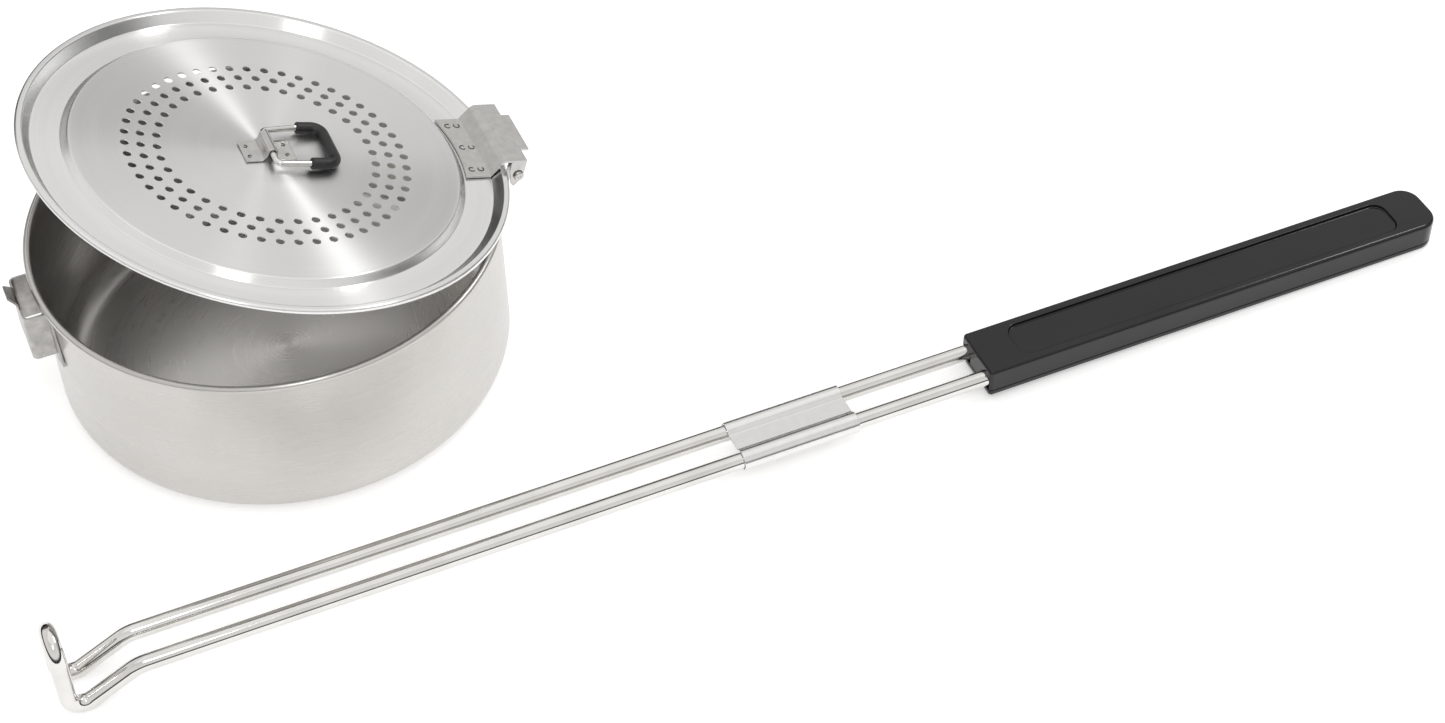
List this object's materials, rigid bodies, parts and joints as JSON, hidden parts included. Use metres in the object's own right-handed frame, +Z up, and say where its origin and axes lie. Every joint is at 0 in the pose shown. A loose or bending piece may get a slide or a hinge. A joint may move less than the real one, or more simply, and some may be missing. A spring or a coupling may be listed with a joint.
{
  "type": "popcorn maker",
  "caption": "Open-fire popcorn maker: round steel pan with a perforated hinged lid and a bail, and a loose double-rod handle with a hook, sliding sleeve and moulded grip.",
  "frame": {"origin": "centre of the pan's base, on the surface that the pan and handle stand on", "axes": "+X towards the lid hinge and along the handle towards its grip, +Z up"},
  "size_m": [0.7123, 0.2933, 0.1624],
  "materials": {
    "pan_steel": "satin, turned on the lid",
    "bracket_steel": "satin sheet with spot welds",
    "rod_steel": "polished rod",
    "black_rubber": "smooth sleeve",
    "black_plastic": "gloss moulded",
    "screw_steel": "plated"
  },
  "bodies": {
    "pot": {"pot_body": "pan_steel", "handle_socket": "bracket_steel", "hinge_base": "bracket_steel", "hinge_pin": "bracket_steel"},
    "lid": {"lid_panel": "pan_steel", "hinge_leaf": "bracket_steel", "bail_bracket": "bracket_steel"},
    "bail": {"bail_wire": "rod_steel", "bail_grip": "black_rubber"},
    "handle": {"handle_wire": "rod_steel", "grip_upper": "black_plastic", "grip_lower": "black_plastic", "grip_screw_1": "screw_steel", "grip_screw_2": "screw_steel"},
    "slider": {"slider": "bracket_steel"}
  },
  "joints": [
    {"name": "lid_hinge", "type": "hinge", "parent": "pot", "child": "lid", "pos_m": [0.1192, 0, 0.087], "axis": [0, 1, 0], "range_deg": [-17.85, 87]},
    {"name": "bail_hinge", "type": "hinge", "parent": "lid", "child": "bail", "pos_m": [0.00759, 0, 0.13093], "axis": [0, -1, 0], "range_deg": [0, 186]},
    {"name": "handle_lift", "type": "slide", "parent": "pot", "child": "handle", "axis": [0, 0, 1], "range_m": [0, 0.3]},
    {"name": "slider_slide", "type": "slide", "parent": "handle", "child": "slider", "axis": [0.9999, 0.0072, -0.0123], "range_m": [-0.284, 0.067]}
  ]
}
